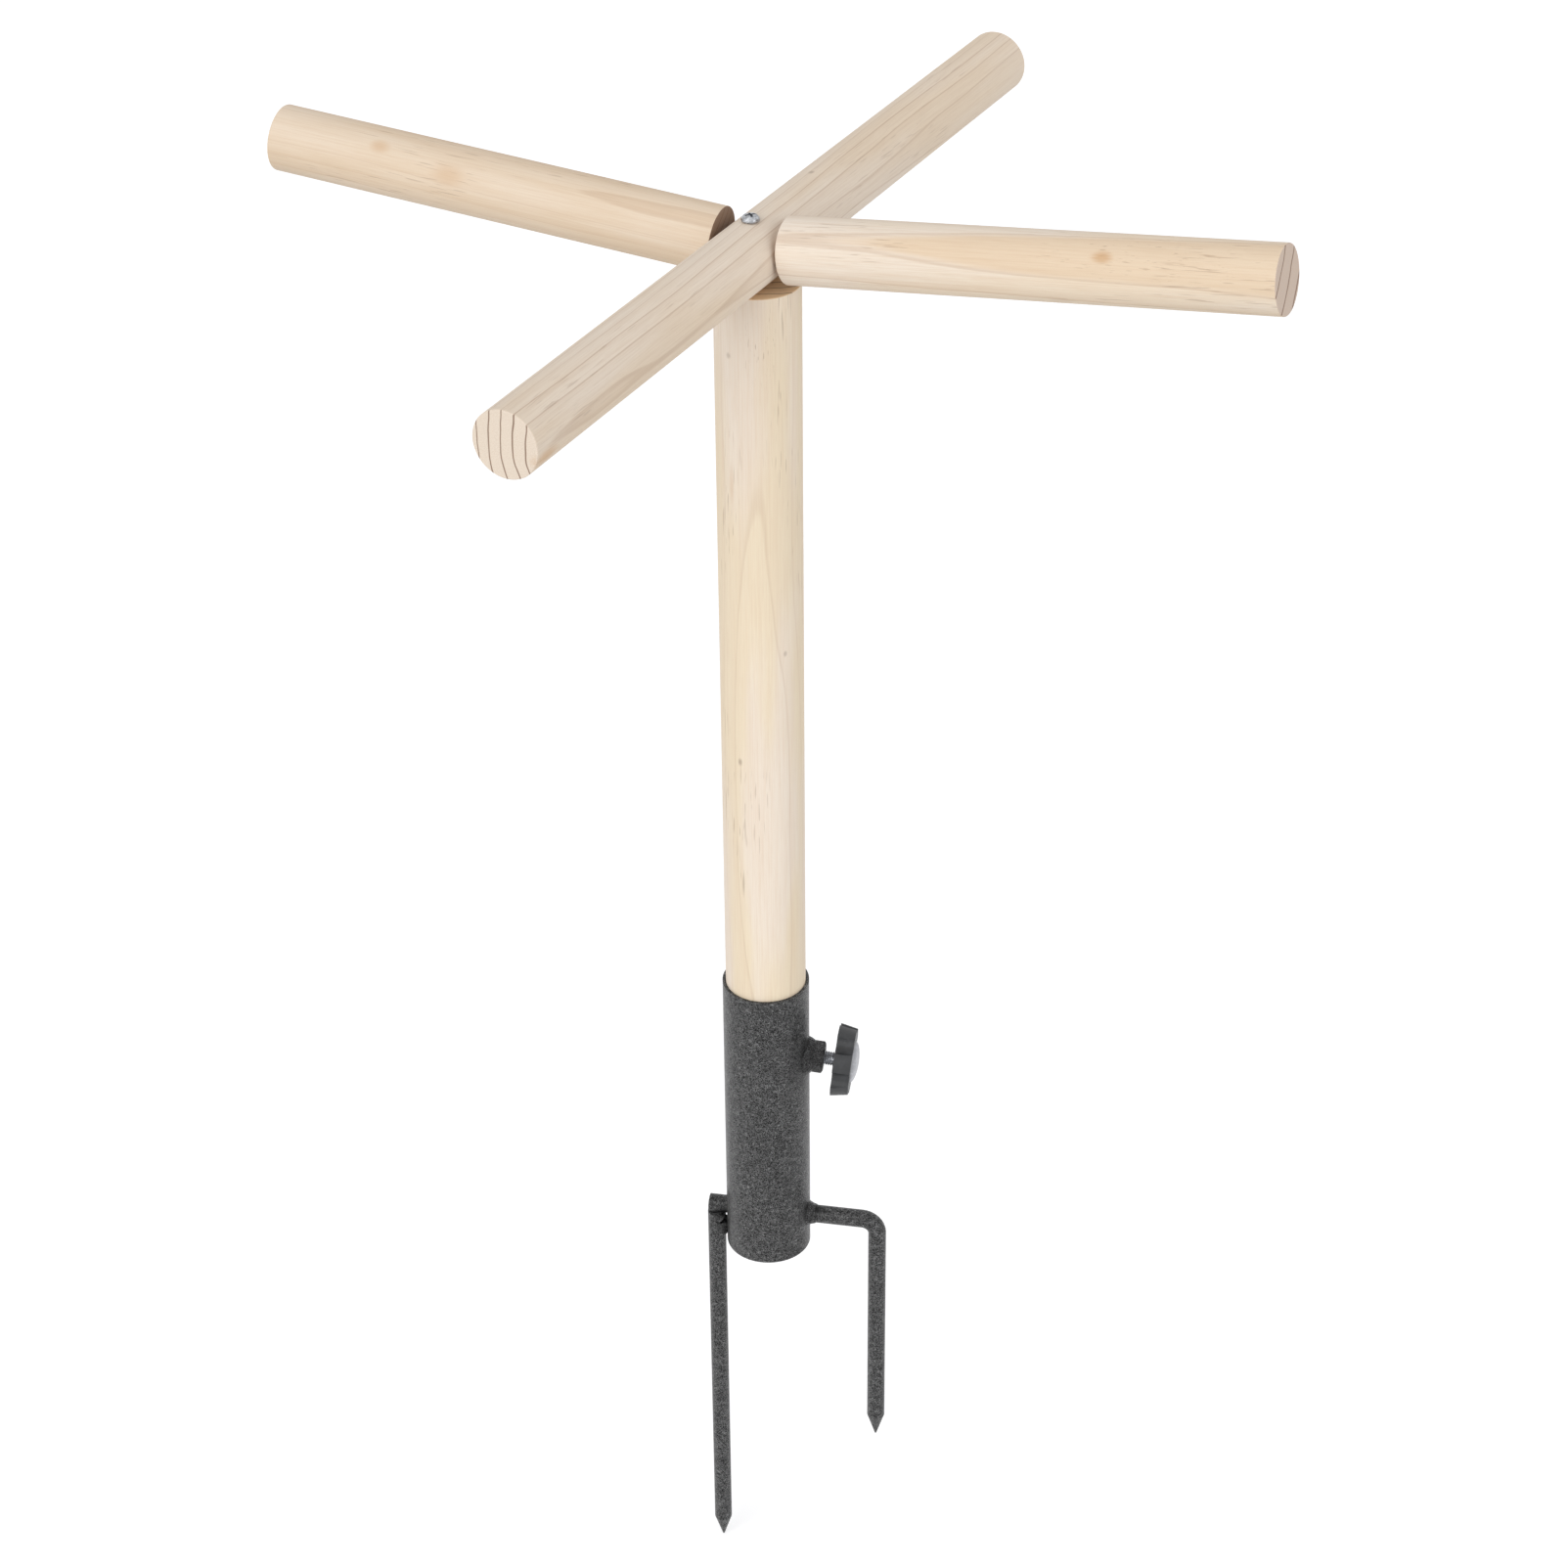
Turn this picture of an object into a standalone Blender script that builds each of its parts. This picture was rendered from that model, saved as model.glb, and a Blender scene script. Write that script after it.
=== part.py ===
"""A ground-stake cross perch: a wooden post with four arms, clamped in a steel socket that has two prongs."""

import math

import bmesh
import bpy
from mathutils import Matrix, Vector

MM = 0.001

# Socket tube. Its bottom end is the ground line, z = 0.
TUBE_R = 19.0
TUBE_WALL = 1.2
TUBE_LENGTH = 145.0

GAP = 0.3

# Post, resting on the rod inside the tube.
POST_R = TUBE_R - TUBE_WALL - GAP
POST_TOP = 477.6

# The dowels of the cross. Angles run anticlockwise from +X, seen from above.
BAR_R = 13.45
BAR_TURN = 61.7
BAR_NEAR = 187.5
BAR_FAR = 220.9
LEFT_TURN, LEFT_RISE, LEFT_REACH = 156.5, 3.9, 208.7
RIGHT_TURN, RIGHT_RISE, RIGHT_REACH = -26.1, 7.2, 215.5
DOWEL_R = 3.0
DOWEL_IN, DOWEL_OUT = 4.0, 32.0
SAWN_EDGE = 0.4

# Top screw, a little off the post's axis along the bar.
SCREW_ALONG = -5.0
SCREW_HEAD_R = 3.7
SCREW_HEAD_HEIGHT = 2.4
SCREW_R = 2.2
SCREW_LENGTH = 60.0

# Ground rod and prongs.
ROD_R = 4.1
ROD_Z = 16.3
ROD_TURN = -11.0
STEP_REACH = 50.3
STEP_BEND = 7.0
STEP_TIP = -112.3
PRONG_AT = -TUBE_R - ROD_R - 1.1
STUB_END = PRONG_AT - 3.1
PRONG_TIP = -189.2
POINT_LENGTH = 12.0

# Clamp screw, whose nut is welded on sloping down a little.
CLAMP_Z = 106.8
CLAMP_TURN = -9.0
CLAMP_RISE = -5.0
BOLT_R = 3.2
BOLT_IN = POST_R + 0.8
NUT_FLATS = 12.5
NUT_IN, NUT_OUT = TUBE_R + 1.0, TUBE_R + 7.0
KNOB_IN, KNOB_OUT = TUBE_R + 12.0, TUBE_R + 19.8
KNOB_R = 16.4
KNOB_FRONT_R = KNOB_R - 1.5
KNOB_LOBES = 6
CAP_R = 9.4
CAP_RISE = 2.6
CAP_SEAT = 1.2

POST_BOTTOM = ROD_Z + ROD_R + GAP
BAR_Z = POST_TOP + GAP + BAR_R
CENTRE = Vector((0.0, 0.0, BAR_Z))


def direction(turn, rise=0.0):
    a, e = math.radians(turn), math.radians(rise)
    return Vector((math.cos(a) * math.cos(e), math.sin(a) * math.cos(e), math.sin(e)))


def clear_scene():
    for obj in list(bpy.data.objects):
        bpy.data.objects.remove(obj, do_unlink=True)


def collection(name):
    made = bpy.data.collections.new(name)
    bpy.context.scene.collection.children.link(made)
    return made


def material(name, colour, roughness, metallic=0.0):
    made = bpy.data.materials.new(name)
    made.use_nodes = True
    shader = made.node_tree.nodes["Principled BSDF"]
    shader.inputs["Base Color"].default_value = (*colour, 1.0)
    shader.inputs["Roughness"].default_value = roughness
    shader.inputs["Metallic"].default_value = metallic
    return made


def place(along, origin):
    """The matrix that stands local +Z along a direction, with local +Y kept as near up as it can be."""
    z = along.normalized()
    hint = Vector((0, 0, 1)) if abs(z.z) < 0.99 else Vector((0, 1, 0))
    x = hint.cross(z).normalized()
    turned = Matrix((x, z.cross(x), z)).transposed().to_4x4()
    return Matrix.Translation(Vector(origin) * MM) @ turned


def mesh_object(name, work, group, matrix):
    mesh = bpy.data.meshes.new(name)
    work.to_mesh(mesh)
    work.free()
    obj = bpy.data.objects.new(name, mesh)
    group.objects.link(obj)
    obj.matrix_world = matrix
    return obj


def cone(name, group, matrix, low, high, r_low, r_high, sides=64):
    """A frustum along local +Z from low to high."""
    work = bmesh.new()
    lift = Matrix.Translation((0, 0, (low + high) / 2 * MM))
    bmesh.ops.create_cone(
        work, cap_ends=True, segments=sides, radius1=r_low * MM, radius2=r_high * MM,
        depth=(high - low) * MM, matrix=lift,
    )
    return mesh_object(name, work, group, matrix)


def cylinder(name, group, matrix, low, high, radius, sides=64):
    return cone(name, group, matrix, low, high, radius, radius, sides)


def block(name, group, matrix, low, high):
    work = bmesh.new()
    size = [(b - a) * MM for a, b in zip(low, high)]
    middle = [(a + b) / 2 * MM for a, b in zip(low, high)]
    bmesh.ops.create_cube(
        work, size=1.0, matrix=Matrix.Translation(middle) @ Matrix.Diagonal((*size, 1.0))
    )
    return mesh_object(name, work, group, matrix)


def turned(name, group, matrix, profile, steps=48):
    """A profile of (radius, height) pairs, running down its outer side, turned about local Z."""
    work = bmesh.new()
    points = [work.verts.new((r * MM, 0, z * MM)) for r, z in profile]
    for a, b in zip(points, points[1:]):
        work.edges.new((a, b))
    obj = mesh_object(name, work, group, matrix)
    screw = obj.modifiers.new("Screw", "SCREW")
    screw.steps = screw.render_steps = steps
    screw.use_merge_vertices = True
    screw.merge_threshold = 0.00001
    return obj


def rod(name, group, points):
    """A round rod along (point, radius share) pairs, as a mesh."""
    data = bpy.data.curves.new(name, "CURVE")
    data.dimensions = "3D"
    data.bevel_depth = ROD_R * MM
    data.bevel_resolution = 10
    data.use_fill_caps = True
    data.twist_mode = "MINIMUM"
    spline = data.splines.new("POLY")
    spline.points.add(len(points) - 1)
    for made, (where, share) in zip(spline.points, points):
        made.co = (*(Vector(where) * MM), 1.0)
        made.radius = share
    guide = bpy.data.objects.new(name + "_path", data)
    cutters.objects.link(guide)
    guide.hide_render = True
    bpy.context.view_layer.update()
    graph = bpy.context.evaluated_depsgraph_get()
    mesh = bpy.data.meshes.new_from_object(guide.evaluated_get(graph))
    work = bmesh.new()
    work.from_mesh(mesh)
    bmesh.ops.remove_doubles(work, verts=work.verts, dist=1e-6)
    bmesh.ops.recalc_face_normals(work, faces=work.faces)
    bpy.data.meshes.remove(mesh)
    bpy.data.objects.remove(guide, do_unlink=True)
    return mesh_object(name, work, group, Matrix.Identity(4))


def cut(obj, *tools, operation="DIFFERENCE"):
    for tool in tools:
        tool.hide_render = True
        tool.display_type = "WIRE"
        boolean = obj.modifiers.new("Cut", "BOOLEAN")
        boolean.operation = operation
        boolean.solver = "EXACT"
        boolean.object = tool


def ease(obj, width):
    bevel = obj.modifiers.new("Ease", "BEVEL")
    bevel.width = width * MM
    bevel.segments = 2
    bevel.limit_method = "ANGLE"
    bevel.angle_limit = math.radians(40)


def finish(obj, look, smooth=40):
    obj.data.materials.clear()
    obj.data.materials.append(look)
    for face in obj.data.polygons:
        face.use_smooth = True
    bpy.context.view_layer.objects.active = obj
    sharp = obj.modifiers.new("Weld", "WELD")
    sharp.merge_threshold = 1e-7
    obj.data.set_sharp_from_angle(angle=math.radians(smooth))


def pivot(name, where, along, pieces):
    """An empty on a joint's axis that carries the pieces moving with it."""
    empty = bpy.data.objects.new(name, None)
    parts.objects.link(empty)
    empty.empty_display_size = 0.03
    empty.matrix_world = place(along, where)
    bpy.context.view_layer.update()
    for piece in pieces:
        piece.parent = empty
        piece.matrix_parent_inverse = empty.matrix_world.inverted()


def make_post():
    """The post, with the hole that the top screw cuts in its end grain."""
    up = place(Vector((0, 0, 1)), (0, 0, 0))
    post = cylinder("post", parts, up, POST_BOTTOM, POST_TOP, POST_R)
    ease(post, SAWN_EDGE)
    at = place(Vector((0, 0, 1)), screw_foot())
    tip = BAR_R - SCREW_LENGTH - 2 * GAP
    cut(post, cylinder("post_hole", cutters, at, tip, 0.0, SCREW_R + GAP, 32))
    finish(post, pine)
    return post


def screw_foot():
    return CENTRE + direction(BAR_TURN) * SCREW_ALONG


def make_top_screw():
    """A pan-head wood screw with a cross recess."""
    at = place(Vector((0, 0, 1)), screw_foot() + Vector((0, 0, BAR_R + GAP)))
    r, h = SCREW_HEAD_R, SCREW_HEAD_HEIGHT
    crown = [(0.0, h), (0.4 * r, 0.97 * h), (0.75 * r, 0.82 * h), (0.95 * r, 0.5 * h), (r, 0.2 * h), (0.98 * r, 0.0)]
    shank = [(SCREW_R, 0.0), (SCREW_R, -SCREW_LENGTH + 8.0), (0.3, -SCREW_LENGTH), (0.0, -SCREW_LENGTH)]
    screw = turned("top_screw", parts, at, crown + shank)
    for i in range(2):
        turn = at @ Matrix.Rotation(math.radians(20 + 90 * i), 4, "Z")
        cut(screw, block(f"recess_{i}", cutters, turn, (-2.1, -0.5, 0.9), (2.1, 0.5, 4.0)))
    finish(screw, zinc)
    return screw


def make_arm(name, turn, rise, reach):
    """One half-length arm butted against the bar, and the hidden pin that joins them."""
    along = place(direction(turn, rise), CENTRE)
    askew = math.radians(turn - BAR_TURN)
    start = BAR_R * (1 + abs(math.cos(askew) / math.sin(askew))) + 1.3 * GAP
    arm = cylinder(f"{name}_arm", parts, along, start, reach, BAR_R)
    ease(arm, SAWN_EDGE)
    cut(arm, cylinder(f"{name}_arm_hole", cutters, along, 0.0, DOWEL_OUT + GAP, DOWEL_R + GAP, 32))
    finish(arm, pine)
    pin = cylinder(f"{name}_dowel", parts, along, DOWEL_IN, DOWEL_OUT, DOWEL_R, 32)
    finish(pin, zinc)
    hole = cylinder(f"{name}_bar_hole", cutters, along, DOWEL_IN - GAP, DOWEL_OUT + 8.0, DOWEL_R + GAP, 32)
    return arm, pin, hole


def make_cross():
    left, left_pin, left_hole = make_arm("left", LEFT_TURN, LEFT_RISE, LEFT_REACH)
    right, right_pin, right_hole = make_arm("right", RIGHT_TURN, RIGHT_RISE, RIGHT_REACH)
    along = place(direction(BAR_TURN), CENTRE)
    bar = cylinder("through_bar", parts, along, -BAR_NEAR, BAR_FAR, BAR_R)
    ease(bar, SAWN_EDGE)
    at = place(Vector((0, 0, 1)), screw_foot())
    cut(bar, left_hole, right_hole)
    cut(bar, cylinder("bar_screw_hole", cutters, at, -20.0, 20.0, SCREW_R + GAP, 32))
    finish(bar, pine)
    return [bar, left, right, left_pin, right_pin]


def make_tube():
    up = place(Vector((0, 0, 1)), (0, 0, 0))
    tube = cylinder("socket_tube", parts, up, 0.0, TUBE_LENGTH, TUBE_R, 96)
    bore = cylinder("tube_bore", cutters, up, -5.0, TUBE_LENGTH + 5.0, TUBE_R - TUBE_WALL, 96)
    across = place(direction(ROD_TURN), (0, 0, ROD_Z))
    clamp = place(direction(CLAMP_TURN, CLAMP_RISE), (0, 0, CLAMP_Z))
    cut(tube, bore)
    cut(tube, cylinder("rod_holes", cutters, across, -TUBE_R - 11.0, TUBE_R + 11.0, ROD_R + GAP, 32))
    cut(tube, cylinder("clamp_hole", cutters, clamp, 10.0, TUBE_R + 11.0, BOLT_R + GAP, 32))
    finish(tube, paint)


def make_rods():
    """The stepped rod through the tube, and the long prong under its stub end."""
    out = direction(ROD_TURN)
    turn = Vector((0, 0, ROD_Z - STEP_BEND)) + out * (STEP_REACH - STEP_BEND)
    path = [(out * STUB_END + Vector((0, 0, ROD_Z)), 1.0)]
    for i in range(9):
        a = math.radians(90 * (1 - i / 8))
        path.append((turn + (out * math.cos(a) + Vector((0, 0, math.sin(a)))) * STEP_BEND, 1.0))
    foot = out * STEP_REACH
    path += [(foot + Vector((0, 0, STEP_TIP + POINT_LENGTH)), 1.0), (foot + Vector((0, 0, STEP_TIP)), 0.1)]
    finish(rod("step_rod", parts, path), paint)
    foot = out * PRONG_AT
    top = ROD_Z - ROD_R - GAP
    path = [(foot + Vector((0, 0, z)), share) for z, share in
            ((top, 1.0), (PRONG_TIP + POINT_LENGTH, 1.0), (PRONG_TIP, 0.1))]
    finish(rod("long_prong", parts, path), paint)


def near_tube(name):
    up = place(Vector((0, 0, 1)), (0, 0, 0))
    return cylinder(name, cutters, up, -20.0, TUBE_LENGTH + 20.0, TUBE_R + GAP, 96)


def make_rod_welds():
    """A flared bead round the rod at the step side, and a slanting bead at the stub."""
    across = place(direction(ROD_TURN), (0, 0, ROD_Z))
    flare = turned("step_weld", parts, across, [(ROD_R + a, TUBE_R + b) for a, b in (
        (GAP, 3.6), (0.6, 3.4), (0.9, 2.3), (1.5, 1.3), (2.5, 0.5), (2.8, -0.6), (2.8, -3.4), (GAP, -3.4), (GAP, 3.6),
    )], 36)
    cut(flare, near_tube("flare_tube"))
    finish(flare, paint)
    out = direction(ROD_TURN)
    side = out.cross(Vector((0, 0, 1)))
    path = [(out * (PRONG_AT + t) + side * (ROD_R + n) + Vector((0, 0, ROD_Z - ROD_R + z)), share) for t, n, z, share in (
        (-0.4, -0.2, -0.5, 0.54), (2.0, -0.1, -2.3, 0.7), (3.2, -0.2, -4.9, 0.7), (3.7, -0.4, -7.9, 0.56),
        (3.9, -0.6, -10.5, 0.32),
    )]
    bead = rod("stub_weld", parts, path)
    stub = cylinder("bead_stub", cutters, across, -40.0, 0.0, ROD_R + GAP, 32)
    upright = place(Vector((0, 0, 1)), out * PRONG_AT)
    prong = cylinder("bead_prong", cutters, upright, -60.0, ROD_Z, ROD_R + GAP, 32)
    cut(bead, near_tube("bead_tube"), stub, prong)
    finish(bead, paint)


def make_nut():
    clamp = place(direction(CLAMP_TURN, CLAMP_RISE), (0, 0, CLAMP_Z))
    corners = NUT_FLATS / math.sqrt(3)
    hex_turn = clamp @ Matrix.Rotation(math.radians(90), 4, "Z")
    nut = cylinder("clamp_nut", parts, hex_turn, NUT_IN, NUT_OUT, corners, 6)
    ease(nut, 0.5)
    cut(nut, cylinder("nut_bore", cutters, clamp, NUT_IN - 2, NUT_OUT + 2, BOLT_R + GAP, 32))
    finish(nut, paint)
    inner, outer = corners - 0.8, corners + 2.5
    around = [(r, NUT_IN + h) for r, h in (
        (inner, 2.3), (corners + 0.7, 2.1), (corners + 1.5, 0.9), (corners + 2.1, -0.2), (outer, -1.4),
        (outer, -3.6), (inner, -3.6), (inner, 2.3),
    )]
    ring = turned("nut_weld", parts, clamp, around, 48)
    hull = cylinder("weld_nut", cutters, hex_turn, NUT_IN - 8, NUT_OUT + 8, corners + GAP * 1.2, 6)
    cut(ring, near_tube("weld_tube"), hull)
    finish(ring, paint)


def make_clamp():
    """The stud, the six-lobed knob on it and the domed cap in the knob's face."""
    clamp = place(direction(CLAMP_TURN, CLAMP_RISE), (0, 0, CLAMP_Z))
    stud_end = KNOB_OUT - CAP_SEAT - 1.0
    bolt = cylinder("clamp_bolt", parts, clamp, BOLT_IN, stud_end - GAP, BOLT_R, 32)
    ease(bolt, 0.4)
    finish(bolt, zinc)
    knob = cone("knob", parts, clamp, KNOB_IN, KNOB_OUT, KNOB_R, KNOB_FRONT_R, 96)
    for i in range(KNOB_LOBES):
        a = math.radians((i + 0.5) * 360 / KNOB_LOBES + 90)
        out = (KNOB_R + 1.5) * MM
        valley = clamp @ Matrix.Translation((out * math.cos(a), out * math.sin(a), 0))
        cut(knob, cylinder(f"valley_{i}", cutters, valley, KNOB_IN - 3, KNOB_OUT + 3, 4.8, 32))
    seat = cylinder("cap_seat", cutters, clamp, KNOB_OUT - CAP_SEAT, KNOB_OUT + 3, CAP_R + GAP, 48)
    cut(knob, seat, cylinder("stud_hole", cutters, clamp, KNOB_IN - 3, stud_end, BOLT_R + GAP, 32))
    ease(knob, 0.35)
    finish(knob, plastic)
    dome = [(CAP_R * math.sin(a), KNOB_OUT + CAP_RISE * (math.cos(a) - math.cos(1.5)) / (1 - math.cos(1.5)))
            for a in (1.5 * i / 8 for i in range(9))]
    rim = dome[-1][0]
    low = KNOB_OUT - CAP_SEAT + GAP
    cap = turned("knob_cap", parts, clamp, dome + [(rim, low), (0.0, low)], 48)
    finish(cap, silver)
    return [bolt, knob, cap]


clear_scene()
parts = collection("parts")
cutters = collection("cutters")
cutters.hide_render = True
pine = material("pine", (0.78, 0.62, 0.44), 0.55)
paint = material("hammertone", (0.07, 0.07, 0.07), 0.4, 0.3)
zinc = material("zinc", (0.75, 0.76, 0.78), 0.3, 1.0)
plastic = material("black_plastic", (0.03, 0.03, 0.03), 0.45)
silver = material("silver_plastic", (0.55, 0.56, 0.58), 0.35)
up_axis = Vector((0, 0, 1))
make_tube()
make_rods()
make_rod_welds()
make_nut()
pivot("post_axis", (0, 0, POST_BOTTOM), up_axis, [make_post(), make_top_screw()])
pivot("cross_axis", screw_foot(), up_axis, make_cross())
pivot("clamp_axis", (0, 0, CLAMP_Z), direction(CLAMP_TURN, CLAMP_RISE), make_clamp())
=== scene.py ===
"""Looks for the ground-stake cross perch: pine, hammertone paint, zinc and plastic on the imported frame."""

import math

import bmesh
import bpy
from mathutils import Matrix, Vector


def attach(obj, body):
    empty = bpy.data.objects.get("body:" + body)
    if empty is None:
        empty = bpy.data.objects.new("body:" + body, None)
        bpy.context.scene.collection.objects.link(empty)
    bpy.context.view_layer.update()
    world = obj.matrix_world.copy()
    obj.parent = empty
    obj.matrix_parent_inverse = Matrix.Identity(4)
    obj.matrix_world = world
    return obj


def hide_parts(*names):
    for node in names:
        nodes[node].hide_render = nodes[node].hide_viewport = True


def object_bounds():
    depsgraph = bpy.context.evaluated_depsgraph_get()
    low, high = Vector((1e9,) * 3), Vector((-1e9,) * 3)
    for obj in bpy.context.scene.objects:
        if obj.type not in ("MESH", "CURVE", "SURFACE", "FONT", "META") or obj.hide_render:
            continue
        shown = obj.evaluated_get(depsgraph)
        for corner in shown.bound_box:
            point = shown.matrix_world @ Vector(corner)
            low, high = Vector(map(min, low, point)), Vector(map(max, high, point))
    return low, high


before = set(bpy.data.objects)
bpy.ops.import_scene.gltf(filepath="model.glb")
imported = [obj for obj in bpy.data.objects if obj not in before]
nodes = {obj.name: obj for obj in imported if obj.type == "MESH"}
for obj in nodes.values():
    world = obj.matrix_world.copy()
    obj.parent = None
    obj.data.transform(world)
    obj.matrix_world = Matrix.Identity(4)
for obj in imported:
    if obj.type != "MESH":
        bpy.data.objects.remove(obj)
cad_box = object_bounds()
MM = 0.001

# Where the CAD puts things, in millimetres and degrees. Turns run anticlockwise from +X, seen from above.
CENTRE = (0.0, 0.0, 491.35)
BAR_TURN, BAR_LOW, BAR_HIGH = 61.7, -187.5, 220.9
LEFT_TURN, LEFT_RISE, LEFT_LOW, LEFT_HIGH = 156.5, 3.9, 14.97, 208.7
RIGHT_TURN, RIGHT_RISE, RIGHT_LOW, RIGHT_HIGH = -26.1, 7.2, 14.36, 215.5
POST_LOW, POST_HIGH = 20.7, 477.6
SCREW_ALONG = -5.0
CLAMP_TURN, CLAMP_RISE, CLAMP_Z = -9.0, -5.0, 106.8
STUD_LOW, STUD_HIGH, STUD_R = 18.3, 36.3, 3.2
STUD_SHORT, STUD_PITCH, STUD_THREAD = 0.05, 1.0, 0.55
NUT_LOW, NUT_HIGH, NUT_FLATS, NUT_BORE = 20.0, 26.0, 12.5, 3.5
ROD_TURN, ROD_Z = -11.0, 16.3
TUBE_R = 19.0

# The phase that a ring's dark line has, above enough whole rings to stay positive.
RING_SHIFT = 40.94

# The stage. The drop is in metres below the object's lowest point.
FLOOR_DROP = 0.0006
FLOOR_GLOW = 0.42
STUDIO_LIGHT = 0.6


def direction(turn, rise=0.0):
    a, e = math.radians(turn), math.radians(rise)
    return Vector((math.cos(a) * math.cos(e), math.sin(a) * math.cos(e), math.sin(e)))


def place(along, origin):
    """The matrix that stands local +Z along a direction, with local +Y kept as near up as it can be."""
    z = along.normalized()
    hint = Vector((0, 0, 1)) if abs(z.z) < 0.99 else Vector((0, 1, 0))
    x = hint.cross(z).normalized()
    turned = Matrix((x, z.cross(x), z)).transposed().to_4x4()
    return Matrix.Translation(Vector(origin) * MM) @ turned


def srgb(*levels):
    """A colour from its 0-255 sRGB levels."""
    made = [c / 255 for c in levels]
    return (*[c / 12.92 if c <= 0.04045 else ((c + 0.055) / 1.055) ** 2.4 for c in made], 1.0)


AMBER = srgb(206, 160, 110)
BROWN = srgb(120, 92, 72)
GREY = srgb(168, 150, 132)
RING_LINE = srgb(168, 130, 98)
SAWN_LINE = srgb(128, 96, 76)
FLECK = srgb(142, 108, 82)
TORN = srgb(160, 128, 100)
ZINC = srgb(196, 198, 202)
ZINC_DULL = srgb(141.12, 142.56, 145.44)


class Look:
    """A material's nodes, built by short calls."""

    def __init__(self, name, at=None):
        self.material = bpy.data.materials.new(name)
        self.material.use_nodes = True
        self.tree = self.material.node_tree
        self.shader = self.tree.nodes["Principled BSDF"]
        turn = self.add("Mapping", vector_type="TEXTURE")
        at = at or Matrix.Identity(4)
        self.feed(turn.inputs["Vector"], self.add("TexCoord").outputs["Object"])
        turn.inputs["Location"].default_value = at.to_translation()
        turn.inputs["Rotation"].default_value = at.to_euler()
        turn.inputs["Scale"].default_value = (MM, MM, MM)
        self.point = turn.outputs[0]
        split = self.add("SeparateXYZ")
        self.feed(split.inputs[0], self.point)
        self.x, self.y, self.z = split.outputs

    def add(self, kind, **settings):
        node = self.tree.nodes.new("ShaderNode" + kind)
        for key, value in settings.items():
            setattr(node, key, value)
        return node

    def feed(self, socket, value):
        if isinstance(value, bpy.types.NodeSocket):
            self.tree.links.new(value, socket)
        else:
            socket.default_value = value

    def calc(self, operation, *values):
        """One sum on numbers or sockets, such as ADD or MULTIPLY."""
        node = self.add("Math", operation=operation)
        for socket, value in zip(node.inputs, values):
            self.feed(socket, value)
        return node.outputs[0]

    def mix(self, factor, first, second):
        node = self.add("Mix", data_type="RGBA")
        for i, value in ((0, factor), (6, first), (7, second)):
            self.feed(node.inputs[i], value)
        return node.outputs[2]

    def step(self, value, low, high, out_low=0.0, out_high=1.0):
        """Eases from out_low to out_high as value goes from low to high."""
        node = self.add("MapRange", interpolation_type="SMOOTHSTEP")
        for socket, number in zip(node.inputs, (value, low, high, out_low, out_high)):
            self.feed(socket, number)
        return node.outputs[0]

    def stretched(self, scale, seed=0.0):
        """The point with each axis scaled, so that a noise on it is longer one way."""
        node = self.add("VectorMath", operation="MULTIPLY_ADD")
        self.feed(node.inputs[0], self.point)
        node.inputs[1].default_value = scale
        node.inputs[2].default_value = (seed, seed * 1.7, seed * 2.3)
        return node.outputs[0]

    def noise(self, scale, seed=0.0, detail=2.0, rough=0.5, twist=0.0):
        node = self.add("TexNoise")
        self.feed(node.inputs["Vector"], self.stretched(scale, seed))
        node.inputs["Scale"].default_value = 1.0
        node.inputs["Detail"].default_value = detail
        node.inputs["Roughness"].default_value = rough
        node.inputs["Distortion"].default_value = twist
        return node.outputs[0]

    def reach(self, where, size):
        """How far the point is from a place, as a share of an ellipsoid's size there."""
        node = self.add("VectorMath", operation="MULTIPLY_ADD")
        self.feed(node.inputs[0], self.point)
        node.inputs[1].default_value = [1 / s for s in size]
        node.inputs[2].default_value = [-w / s for w, s in zip(where, size)]
        length = self.add("VectorMath", operation="LENGTH")
        self.feed(length.inputs[0], node.outputs[0])
        return length.outputs["Value"]

    def bump(self, height, depth_mm):
        """Raises the surface, in shading only, by up to depth_mm where height is 1."""
        node = self.add("Bump")
        node.inputs["Strength"].default_value = 1.0
        node.inputs["Distance"].default_value = depth_mm * MM
        self.feed(node.inputs["Height"], height)
        self.feed(self.shader.inputs["Normal"], node.outputs[0])


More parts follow.
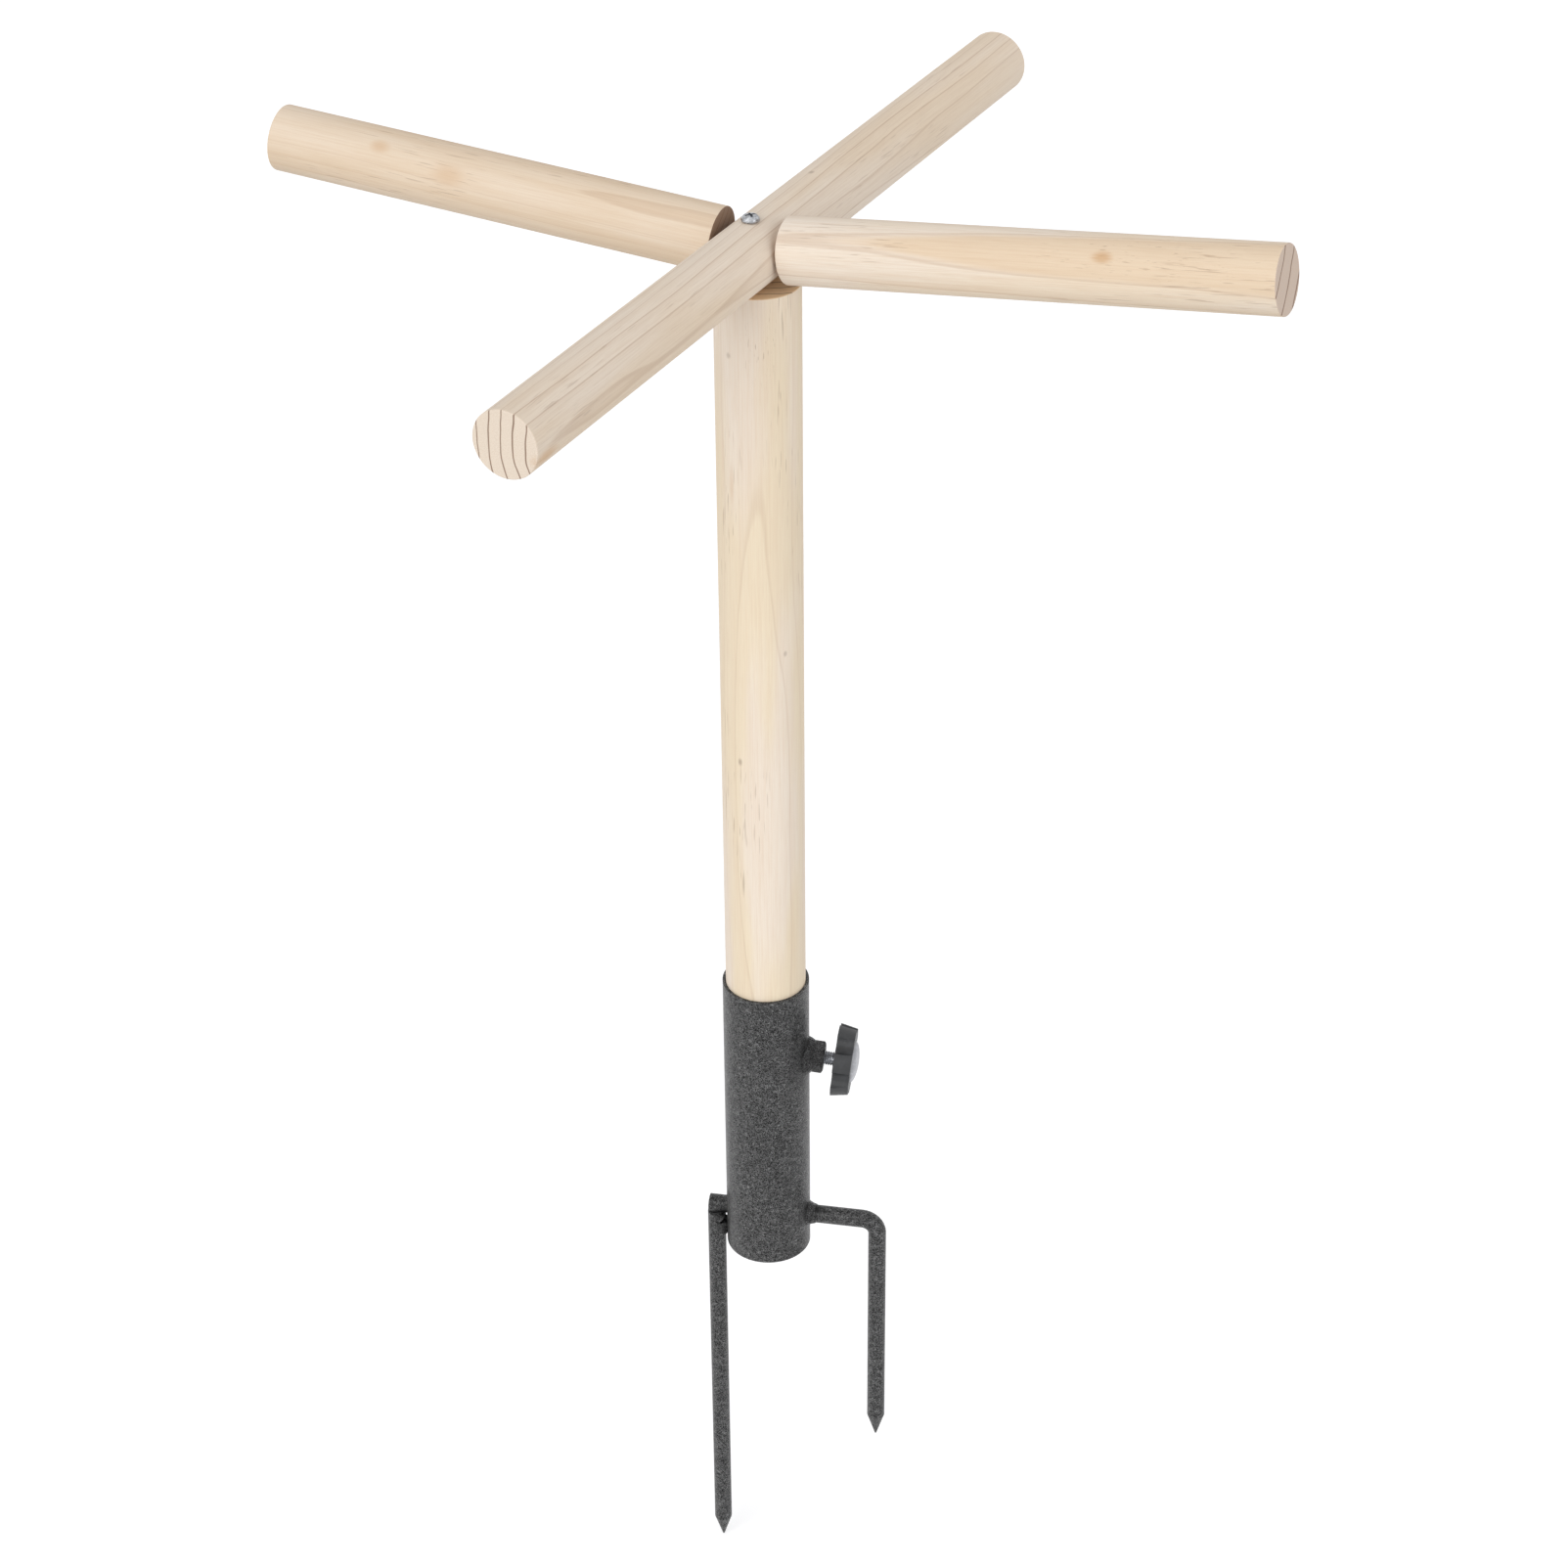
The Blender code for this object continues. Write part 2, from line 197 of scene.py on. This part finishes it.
def pine(name, at, low, high, pith, spacing, seed, pale, warm, late, first, lean, contrast, edge, dashes, marks=(),
         wander=8.0, painted_end_shade=None, zone=None, tears=(), sawn_tone=None):
    """Pine cut from a trunk whose heart runs beside the piece, so that rings meet its sides and its sawn ends as they
    do in the real stick. The piece runs from low to high along its axis. pith is the heart's place across it, lean how
    far that drifts with each millimetre along, wander how far the rings stray, spacing the width of a ring and first a
    radius at which one ends. pale, warm and late are the tones of the early wood, its patches and the late wood.
    contrast, edge and dashes are the strengths of the late wood, its closing line and the flecks. The low-end tone
    paints shade on the low end, where it sits in a crevice against the bar; sawn_tone is the ends' own tone, zone is a
    radius inside which the wood is warmer, marks are spots of resin and small knots, and tears are places where the
    plane tore the grain."""
    look = Look(name, at)
    calc = look.calc
    across = []
    for coordinate, heart, drift in ((look.x, pith[0], lean[0]), (look.y, pith[1], lean[1])):
        across.append(calc("SUBTRACT", coordinate, calc("ADD", heart, calc("MULTIPLY", look.z, drift))))
    radius = calc("SQRT", calc("ADD", calc("POWER", across[0], 2.0), calc("POWER", across[1], 2.0)))
    for scale, reach, shift in (((0.02, 0.02, 0.0045), wander, 0.0), ((0.09, 0.09, 0.012), 2.4, 5.0)):
        drift = calc("SUBTRACT", look.noise(scale, seed + shift, 1.0), 0.5)
        radius = calc("ADD", radius, calc("MULTIPLY", drift, reach))

    # Late wood darkens through each ring and stops sharply. Some rings are fainter than others.
    phase = calc("ADD", calc("DIVIDE", calc("SUBTRACT", radius, first), spacing), RING_SHIFT)
    part = calc("FRACT", phase)
    ring = look.add("TexWhiteNoise", noise_dimensions="1D")
    look.feed(ring.inputs["W"], calc("ADD", calc("FLOOR", phase), seed))
    strength = look.step(ring.outputs[0], 0.0, 1.0, 0.45, 1.0)
    closing = look.step(part, 0.965, 1.0, 1.0, 0.0)
    band, line, thin = [calc("MULTIPLY", calc("MULTIPLY", look.step(part, *span), closing), strength)
                        for span in ((0.35, 0.95), (0.84, 0.94), (0.89, 0.95))]

    patch = look.noise((0.05, 0.05, 0.007), seed + 9.0, 2.0)
    base = look.mix(look.step(patch, 0.38, 0.62), pale, warm)
    if zone:
        reach, soft, tone = zone
        base = look.mix(look.step(radius, reach - soft, reach, 1.0, 0.0), base, tone)
    fibre = look.noise((1.5, 1.5, 0.03), seed + 3.0, 3.0, 0.6)
    fine = look.noise((5.0, 5.0, 0.15), seed + 4.0, 2.0)
    base = look.mix(look.step(fibre, 0.35, 0.75, 0.0, 0.28), base, late)
    base = look.mix(look.step(fine, 0.45, 0.75, 0.0, 0.14), base, late)
    side = look.mix(calc("MULTIPLY", band, contrast), base, late)
    side = look.mix(calc("MULTIPLY", thin, edge), side, RING_LINE)
    flecks = calc("MULTIPLY", look.step(look.noise((1.3, 1.3, 0.07), seed + 6.0, 1.0), 0.62, 0.70),
                  look.step(look.noise((0.05, 0.05, 0.012), seed + 7.0, 0.0), 0.52, 0.62))
    side = look.mix(calc("MULTIPLY", flecks, dashes), side, FLECK)

    pores = look.noise((2.6, 2.6, 0.4), seed + 8.0, 3.0, 0.65)
    sawn = look.mix(look.step(pores, 0.35, 0.7, 0.0, 0.4), sawn_tone or pale, late)
    sawn = look.mix(calc("MULTIPLY", look.step(line, 0.0, 0.5), 0.85), sawn, SAWN_LINE)
    far = calc("GREATER_THAN", look.z, high - 0.2)
    near = calc("LESS_THAN", look.z, low + 0.2)
    colour = look.mix(calc("MAXIMUM", far, near), side, sawn)
    # The low end darkens towards the low-end tone: painted shade on the cut end that sits in the crevice against the
    # bar.
    if painted_end_shade:
        colour = look.mix(calc("MULTIPLY", near, 0.8), colour, painted_end_shade)
    for where, size, tone, share in marks:
        ragged = calc("ADD", look.reach(where, size), calc("MULTIPLY", calc("SUBTRACT", fibre, 0.5), 0.9))
        colour = look.mix(look.step(ragged, 0.2, 1.0, share, 0.0), colour, tone)
    for where, size in tears:
        torn = look.noise((2.8, 2.8, 0.22), seed + 11.0, 1.0, 0.5)
        share = calc("MULTIPLY", look.step(torn, 0.67, 0.74), look.step(look.reach(where, size), 0.4, 1.0, 0.5, 0.0))
        colour = look.mix(share, colour, TORN)
    look.feed(look.shader.inputs["Base Color"], colour)
    look.feed(look.shader.inputs["Roughness"], look.step(fibre, 0.2, 0.8, 0.72, 0.55))
    look.shader.inputs["Specular IOR Level"].default_value = 0.3
    grain = calc("ADD", calc("MULTIPLY", fine, 0.25), calc("MULTIPLY", band, -0.25))
    look.bump(calc("ADD", calc("MULTIPLY", fibre, 0.5), grain), 0.12)
    return look.material


def hammertone(name, light=1.0, depth=0.16, heat_tint_and_shade=()):
    """Dark grey hammer paint: thin pale veins that curl over a darker ground, raised enough to glint. light scales the
    ground's tone. The places given beside a weld are darker and smoother: heat tint in the paint, with painted shade
    where the weld meets the tube."""
    look = Look(name)
    calc = look.calc
    veins = None
    for size, seed, width in ((0.72, 0.0, 0.033), (1.1, 13.0, 0.04)):
        field = look.noise((size, size, size), seed, 2.0, 0.55, 0.9)
        vein = look.step(calc("ABSOLUTE", calc("SUBTRACT", field, 0.5)), 0.0, width, 1.0, 0.0)
        veins = vein if veins is None else calc("MAXIMUM", veins, calc("MULTIPLY", vein, 0.8))
    broken = look.step(look.noise((0.3, 0.3, 0.3), 21.0, 2.0), 0.36, 0.6, 0.6, 1.0)
    veins = calc("MULTIPLY", veins, broken)
    cloud = look.noise((0.09, 0.09, 0.09), 31.0, 2.0)
    ground = look.mix(cloud, srgb(*[14 * light] * 3), srgb(*[24 * light] * 3))
    # Beside the welds the ground darkens and the veins fade: heat tint in the paint, with painted shade in the corners
    # where the welds meet the tube.
    if heat_tint_and_shade:
        dark = 0.0
        for where, size in heat_tint_and_shade:
            dark = calc("MAXIMUM", look.step(look.reach(where, size), 0.45, 1.0, 0.95, 0.0), dark)
        veins = calc("MULTIPLY", veins, calc("SUBTRACT", 1.0, dark))
        ground = look.mix(dark, ground, srgb(17, 17, 18))
    look.feed(look.shader.inputs["Base Color"], look.mix(calc("MULTIPLY", veins, 0.9), ground, srgb(172, 172, 172)))
    look.shader.inputs["Metallic"].default_value = 0.12
    look.shader.inputs["Specular IOR Level"].default_value = 0.22
    look.feed(look.shader.inputs["Roughness"], look.step(veins, 0.0, 1.0, 0.38, 0.2))
    look.shader.inputs["Coat Weight"].default_value = 0.12
    look.shader.inputs["Coat Roughness"].default_value = 0.12
    look.bump(calc("ADD", veins, calc("MULTIPLY", cloud, 0.6)), depth)
    return look.material


def zinc(name, at):
    """Bright zinc plate with a faint spangle and fine turning marks round the axis."""
    look = Look(name, at)
    calc = look.calc
    spangle = look.noise((0.8, 0.8, 0.8), 3.0, 3.0, 0.6)
    radius = calc("SQRT", calc("ADD", calc("POWER", look.x, 2.0), calc("POWER", look.y, 2.0)))
    turning = calc("SINE", calc("MULTIPLY", calc("ADD", radius, calc("MULTIPLY", spangle, 0.5)), 30.0))
    colour = look.mix(look.step(spangle, 0.35, 0.7), ZINC, ZINC_DULL)
    look.feed(look.shader.inputs["Base Color"], colour)
    look.shader.inputs["Metallic"].default_value = 1.0
    look.feed(look.shader.inputs["Roughness"], look.step(spangle, 0.2, 0.8, 0.2, 0.42))
    look.bump(calc("ADD", calc("MULTIPLY", turning, 0.15), spangle), 0.03)
    return look.material


def moulded(name, at, tone, rough, grain, depth):
    """Moulded plastic: a fine spark-eroded grain, a little scuffing and a soft sheen."""
    look = Look(name, at)
    calc = look.calc
    fine = look.noise((grain, grain, grain), 2.0, 2.0, 0.6)
    scuff = look.noise((0.25, 0.25, 0.25), 8.0, 3.0, 0.65)
    lighter = srgb(*[min(255, t * 1.35 + 6) for t in tone])
    look.feed(look.shader.inputs["Base Color"], look.mix(look.step(scuff, 0.4, 0.75, 0.0, 0.6), srgb(*tone), lighter))
    look.feed(look.shader.inputs["Roughness"], look.step(scuff, 0.3, 0.7, rough - 0.06, rough + 0.08))
    look.bump(calc("ADD", fine, calc("MULTIPLY", scuff, 0.5)), depth)
    return look.material


def skin(work, rings):
    """Faces between each ring of points and the next."""
    for first, second in zip(rings, rings[1:]):
        for j in range(len(first)):
            k = (j + 1) % len(first)
            work.faces.new((first[j], first[k], second[k], second[j]))


def thread(name, at, low, high, radius, pitch, depth, look, around=40, along=8):
    """A stud with a real helical thread, as a grid wrapped round its axis, with chamfered ends. The grid has around
    points to a turn and along rows to a pitch."""
    work = bmesh.new()
    rows = int((high - low) / pitch * along)
    rings = []
    for i in range(rows + 1):
        z = low + (high - low) * i / rows
        worn = min(1.0, (z - low) / 0.8 + 0.25, (high - z) / 0.8 + 0.25)
        ring = []
        for j in range(around):
            turn = j / around
            saw = (z / pitch - turn) % 1.0
            crest = max(0.0, min(1.0, (0.5 - abs(saw - 0.5)) * 2.6 - 0.2))
            r = (radius - depth * (1.0 - crest * worn) - 0.35 * (1.0 - worn)) * MM
            ring.append(work.verts.new((r * math.cos(turn * math.tau), r * math.sin(turn * math.tau), z * MM)))
        rings.append(ring)
    skin(work, rings)
    work.faces.new(list(reversed(rings[0])))
    work.faces.new(rings[-1])
    return made(name, work, at, look)


def wobble(a, b=0.0, seed=0.0):
    """A smooth wander between about -1 and 1 that repeats once round a turn in a."""
    waves = ((1, 0.5, 1.3), (2, 0.4, 2.1), (3, 0.5, 0.4), (5, 0.35, 4.0), (8, 0.3, 1.1), (13, 0.2, 2.9))
    return sum(share * math.sin(n * a + phase + seed * n + b * (1 + 0.3 * n)) for n, share, phase in waves) / 1.4


def lathe(name, at, rows, look, smooth=50, around=144):
    """A closed ring: each row gives (radius, height) in millimetres for an angle, and the last meets the first."""
    work = bmesh.new()
    rings = []
    for row in rows:
        ring = []
        for j in range(around):
            a = j / around * math.tau
            r, z = row(a)
            ring.append(work.verts.new((r * math.cos(a) * MM, r * math.sin(a) * MM, z * MM)))
        rings.append(ring)
    skin(work, rings + rings[:1])
    bmesh.ops.recalc_face_normals(work, faces=work.faces)
    return made(name, work, at, look, smooth)


def made(name, work, at, look, smooth=50):
    """The object that a mesh in millimetres about its own axis becomes, with edges sharper than smooth kept sharp."""
    mesh = bpy.data.meshes.new(name)
    work.to_mesh(mesh)
    work.free()
    mesh.transform(at)
    for face in mesh.polygons:
        face.use_smooth = True
    mesh.set_sharp_from_angle(angle=math.radians(smooth))
    mesh.materials.append(look)
    obj = bpy.data.objects.new(name, mesh)
    bpy.context.scene.collection.objects.link(obj)
    return obj


def tube_face(x, y, slope):
    """How far along a sloping axis the socket tube's outer face is, at a point beside that axis."""
    a = math.radians(slope)
    return (math.sqrt(max(1.0, TUBE_R ** 2 - x * x)) + y * math.sin(a)) / math.cos(a)


def fillet(name, at, root, foot, crown, slope, look, seed, full=0.5, rough=1.0):
    """A rippled weld bead round a nut or a rod: from the tube's face at radius foot, up to radius root at crown. It
    bulges by full, or is hollow where that is below zero, and rough scales how uneven it is."""
    def row(share):
        def at_angle(a):
            ripple = 0.12 * math.sin(24 * a + 2.0 * wobble(a, seed=seed + 1))
            ripple *= math.sin(math.pi * min(1.0, share + 0.15))
            swell = full * math.sin(math.pi * share) + ripple * rough
            outer = foot + 0.55 * rough * wobble(a, seed=seed)
            r = outer + (root - outer) * share + swell * 0.7
            low = tube_face(r * math.cos(a), r * math.sin(a), slope) - 0.15
            top = crown + 0.35 * rough * wobble(a, seed=seed + 3)
            return r, low + (top - low) * share ** 1.25 + swell * 0.4
        return at_angle

    def inside(a):
        return root - 0.7, crown - 0.6

    def under(a):
        r = root - 0.7
        return r, tube_face(r * math.cos(a), r * math.sin(a), slope) - 0.15
    return lathe(name, at, [row(i / 9) for i in range(10)] + [inside, under], look)


def bead(name, at, path, look, around=20, steps=10):
    """A lumpy weld bead laid along (place, radius) points."""
    work = bmesh.new()
    points = []
    for (p, r), (q, s) in zip(path, path[1:]):
        points += [(Vector(p).lerp(Vector(q), i / steps), r + (s - r) * i / steps) for i in range(steps)]
    points.append((Vector(path[-1][0]), path[-1][1]))
    rings = []
    for i, (where, r) in enumerate(points):
        ahead = (points[min(i + 1, len(points) - 1)][0] - points[max(i - 1, 0)][0]).normalized()
        side = ahead.orthogonal().normalized()
        up = ahead.cross(side)
        swell = r * (1 + 0.07 * math.sin(i * 1.9)) * (0.55 if i in (0, len(points) - 1) else 1.0)
        ring = []
        for j in range(around):
            a = j / around * math.tau
            out = (side * math.cos(a) + up * math.sin(a)) * swell * (1 + 0.05 * wobble(a, i * 0.7))
            ring.append(work.verts.new((where + out) * MM))
        rings.append(ring)
    skin(work, rings)
    work.faces.new(rings[0])
    work.faces.new(rings[-1])
    bmesh.ops.recalc_face_normals(work, faces=work.faces)
    return made(name, work, at, look)


def nut(name, at, flats, bore, low, high, look):
    """A hex nut with chamfered corners on its outer face and a countersunk bore, its corners up and down."""
    def hexagon(a):
        return flats / 2 / math.cos((a % (math.pi / 3)) - math.pi / 6)

    def outside(z):
        return lambda a: (min(hexagon(a) - 0.05, flats / 2 - 0.25 + 1.732 * (high - z)), z)
    heights = [low] + [high - d for d in (1.6, 0.9, 0.7, 0.55, 0.4, 0.25, 0.12, 0.0)]
    inner = [lambda a: (bore + 0.5, high), lambda a: (bore, high - 0.5), lambda a: (bore, low)]
    return lathe(name, at, [outside(z) for z in heights] + inner, look, 20)


def dress(look, *names):
    """Gives CAD nodes a material, and leaves their meshes alone."""
    for name in names:
        node = nodes[name]
        node.data.materials.clear()
        node.data.materials.append(look)
        for face in node.data.polygons:
            face.material_index = 0


bar_at = place(direction(BAR_TURN), CENTRE)
left_at = place(direction(LEFT_TURN, LEFT_RISE), CENTRE)
right_at = place(direction(RIGHT_TURN, RIGHT_RISE), CENTRE)
post_at = place(Vector((0, 0, 1)), (0, 0, 0))
clamp_at = place(direction(CLAMP_TURN, CLAMP_RISE), (0, 0, CLAMP_Z))
screw_at = Matrix.Translation((Vector(CENTRE) + direction(BAR_TURN) * SCREW_ALONG) * MM)
rod_at = place(direction(ROD_TURN), (0, 0, ROD_Z))

dress(pine("pine_bar", bar_at, BAR_LOW, BAR_HIGH, (-70.0, 3.0), 5.1, 2.0,
           srgb(238, 224, 207), srgb(234, 216, 193), srgb(205, 178, 150),
           first=61.7, lean=(0.004, 0.006), contrast=0.18, edge=0.42, dashes=0.2,
           marks=[((-12.0, -4.0, -181.0), (3.5, 4.5, 11.0), AMBER, 0.5),
                  ((1.0, 13.2, 48.0), (1.5, 1.5, 2.4), GREY, 0.6)]),
      "through_bar")
# The left arm's inner end is painted dark brown: painted shade in the crevice where it butts on the bar.
dress(pine("pine_left_arm", left_at, LEFT_LOW, LEFT_HIGH, (38.0, 52.0), 4.4, 7.0,
           srgb(234, 217, 196), srgb(228, 207, 181), srgb(212, 181, 147),
           first=60.0, lean=(0.012, 0.0), contrast=0.24, edge=0.2, dashes=0.3, painted_end_shade=srgb(112, 76, 52),
           marks=[((8.0, 9.5, 160.0), (4.0, 4.0, 6.0), AMBER, 0.4),
                  ((11.0, 6.0, 128.0), (6.0, 6.0, 10.0), AMBER, 0.3)]),
      "left_arm")
dress(pine("pine_right_arm", right_at, RIGHT_LOW, RIGHT_HIGH, (-50.0, 43.4), 9.4, 12.0,
           srgb(241, 229, 214), srgb(240, 223, 200), srgb(212, 178, 142),
           first=52.4, lean=(0.0219, -0.019), contrast=0.25, edge=0.35, dashes=0.3, wander=4.0,
           zone=(52.4, 1.2, srgb(235, 214, 187)), sawn_tone=srgb(214, 196, 182),
           marks=[((-9.5, 8.5, 148.0), (3.5, 3.5, 5.5), AMBER, 0.65)],
           tears=[((-8.0, 8.0, 165.0), (12.0, 12.0, 60.0))]),
      "right_arm")
dress(pine("pine_post", post_at, POST_LOW, POST_HIGH, (-6.0, 62.0), 5.6, 21.0,
           srgb(243, 230, 214), srgb(241, 225, 198), srgb(222, 194, 164),
           first=79.0, lean=(0.006, 0.0), contrast=0.2, edge=0.2, dashes=0.3, wander=14.0,
           sawn_tone=srgb(236, 206, 168),
           marks=[((-11.5, -13.0, 452.0), (1.5, 1.5, 1.8), GREY, 0.4),
                  ((9.5, -14.5, 318.0), (1.3, 1.3, 1.8), GREY, 0.45),
                  ((-9.5, -14.5, 266.0), (1.3, 1.3, 2.6), BROWN, 0.45),
                  ((-9.0, -15.0, 205.0), (0.8, 1.2, 9.0), BROWN, 0.35),
                  ((-11.0, -13.0, 395.0), (1.6, 2.0, 12.0), AMBER, 0.25)],
           tears=[((1.0, -17.0, 458.0), (9.0, 8.0, 22.0))]),
      "post")
# The three places beside the nut, rod and stub welds are darker: heat tint, with painted shade where weld and tube
# meet.
paint = hammertone("hammertone", heat_tint_and_shade=[((18.7, -3.5, 105.5), (9.0, 10.0, 13.0)),
                                        ((18.6, -4.0, 19.0), (8.0, 8.5, 10.5)),
                                        ((-20.0, 3.0, 12.0), (6.0, 8.0, 9.0))])
dress(paint, "socket_tube", "step_rod", "long_prong")
dress(zinc("zinc_screw", screw_at), "top_screw")
dress(zinc("zinc_pin", right_at), "right_dowel")
dress(zinc("zinc_pin_left", left_at), "left_dowel")
dress(moulded("black_plastic", clamp_at, (40, 41, 43), 0.42, 3.0, 0.03), "knob")
dress(moulded("silver_plastic", clamp_at, (166, 167, 171), 0.34, 5.0, 0.012), "knob_cap")

stud = thread("threaded_stud", clamp_at, STUD_LOW, STUD_HIGH - STUD_SHORT, STUD_R, STUD_PITCH,
              STUD_THREAD, zinc("zinc_stud", clamp_at))
# The nut and weld beads take a paler copy of the paint, light 1.2: painted light that lifts them out of the shade
# where they sit against the tube.
weld_paint = hammertone("hammertone_weld", 1.2, 0.45)
painted_nut = nut("painted_nut", clamp_at, NUT_FLATS, NUT_BORE, NUT_LOW, NUT_HIGH, weld_paint)
nut_bead = fillet("nut_bead", clamp_at, 6.9, 8.6, 21.4, CLAMP_RISE, weld_paint, 2.0, 0.25)
rod_bead = fillet("rod_bead", rod_at, 4.45, 6.1, 22.0, 0.0, weld_paint, 5.0, -0.3, 0.35)
stub_bead = bead("stub_bead", rod_at,
                 [((-3.9, -4.6, -25.0), 1.8), ((-4.2, -5.4, -21.3), 3.1), ((-3.9, -8.4, -20.9), 2.9),
                  ((-3.7, -12.0, -20.5), 2.3), ((-3.5, -14.6, -20.3), 1.3)], weld_paint)
for piece, body, node, slot in (
        (stud, "clamp_screw", "clamp_bolt", "zinc"),
        (painted_nut, "socket", "clamp_nut", "hammertone"),
        (nut_bead, "socket", "nut_weld", "hammertone"),
        (rod_bead, "socket", "step_weld", "hammertone"),
        (stub_bead, "socket", "stub_weld", "hammertone")):
    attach(piece, body)
    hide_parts(node)


def seen(tree):
    """1 on a ray that the camera, a reflection or a refraction sends."""
    path = tree.nodes.new("ShaderNodeLightPath")
    total = path.outputs["Is Camera Ray"]
    for name in ("Is Glossy Ray", "Is Transmission Ray"):
        node = tree.nodes.new("ShaderNodeMath")
        node.operation = "MAXIMUM"
        tree.links.new(total, node.inputs[0])
        tree.links.new(path.outputs[name], node.inputs[1])
        total = node.outputs[0]
    return total


def make_world():
    """White where it is seen, and a softer level where it lights the object."""
    world = bpy.data.worlds.new("studio")
    bpy.context.scene.world = world
    world.use_nodes = True
    tree = world.node_tree
    tree.nodes.clear()
    shades = []
    for colour, strength in (((0.975, 0.98, 1.0, 1.0), STUDIO_LIGHT), ((1.0, 1.0, 1.0, 1.0), 1.0)):
        node = tree.nodes.new("ShaderNodeBackground")
        node.inputs["Color"].default_value = colour
        node.inputs["Strength"].default_value = strength
        shades.append(node.outputs[0])
    mix = tree.nodes.new("ShaderNodeMixShader")
    tree.links.new(seen(tree), mix.inputs[0])
    tree.links.new(shades[0], mix.inputs[1])
    tree.links.new(shades[1], mix.inputs[2])
    out = tree.nodes.new("ShaderNodeOutputWorld")
    tree.links.new(mix.outputs[0], out.inputs["Surface"])


def make_floor():
    """A pale floor just under the prong's point. It glows a little to the camera, so it reads as the white ground."""
    low = cad_box[0].z - FLOOR_DROP
    bpy.ops.mesh.primitive_plane_add(size=24.0, location=(0, 4.0, low))
    floor = bpy.context.object
    floor.name = "floor"
    look = bpy.data.materials.new("floor_paper")
    look.use_nodes = True
    tree = look.node_tree
    shader = tree.nodes["Principled BSDF"]
    shader.inputs["Base Color"].default_value = (0.8, 0.8, 0.8, 1.0)
    shader.inputs["Roughness"].default_value = 0.9
    shader.inputs["Specular IOR Level"].default_value = 0.1
    shader.inputs["Emission Color"].default_value = (1.0, 1.0, 1.0, 1.0)
    glow = tree.nodes.new("ShaderNodeMath")
    glow.operation = "MULTIPLY"
    tree.links.new(seen(tree), glow.inputs[0])
    glow.inputs[1].default_value = FLOOR_GLOW
    tree.links.new(glow.outputs[0], shader.inputs["Emission Strength"])
    floor.data.materials.append(look)


def sun(name, turn, rise, power, spread, colour=(1.0, 1.0, 1.0)):
    """A soft light from a turn and rise, spread degrees wide."""
    data = bpy.data.lights.new(name, "SUN")
    data.energy = power
    data.angle = math.radians(spread)
    data.color = colour
    lamp = bpy.data.objects.new(name, data)
    bpy.context.scene.collection.objects.link(lamp)
    lamp.rotation_mode = "QUATERNION"
    lamp.rotation_quaternion = (-direction(turn, rise)).to_track_quat("-Z", "Y")
    lamp.location = direction(turn, rise) * 3


def make_camera():
    """The photograph's camera, solved from the object's outlines. It rolls by half a degree."""
    data = bpy.data.cameras.new("camera")
    camera = bpy.data.objects.new("camera", data)
    bpy.context.scene.collection.objects.link(camera)
    data.sensor_width = 36.0
    data.lens = 83.5904
    data.clip_start, data.clip_end = 0.05, 60.0
    right = Vector((0.99990989, -0.01126082, -0.00730794))
    forward = Vector((0.00561496, 0.84530159, -0.53425995))
    up = right.cross(forward)
    turned = Matrix((right, up, -forward)).transposed().to_4x4()
    camera.matrix_world = Matrix.Translation((0.00005, -1.30370, 1.06964)) @ turned
    bpy.context.scene.camera = camera


make_world()
make_floor()
sun("key", -128.0, 29.0, 1.18, 45.0, (1.0, 0.998, 0.992))
sun("fill", -48.0, 16.0, 0.66, 55.0)
make_camera()
bpy.context.scene.view_settings.view_transform = "Standard"

bpy.context.view_layer.update()
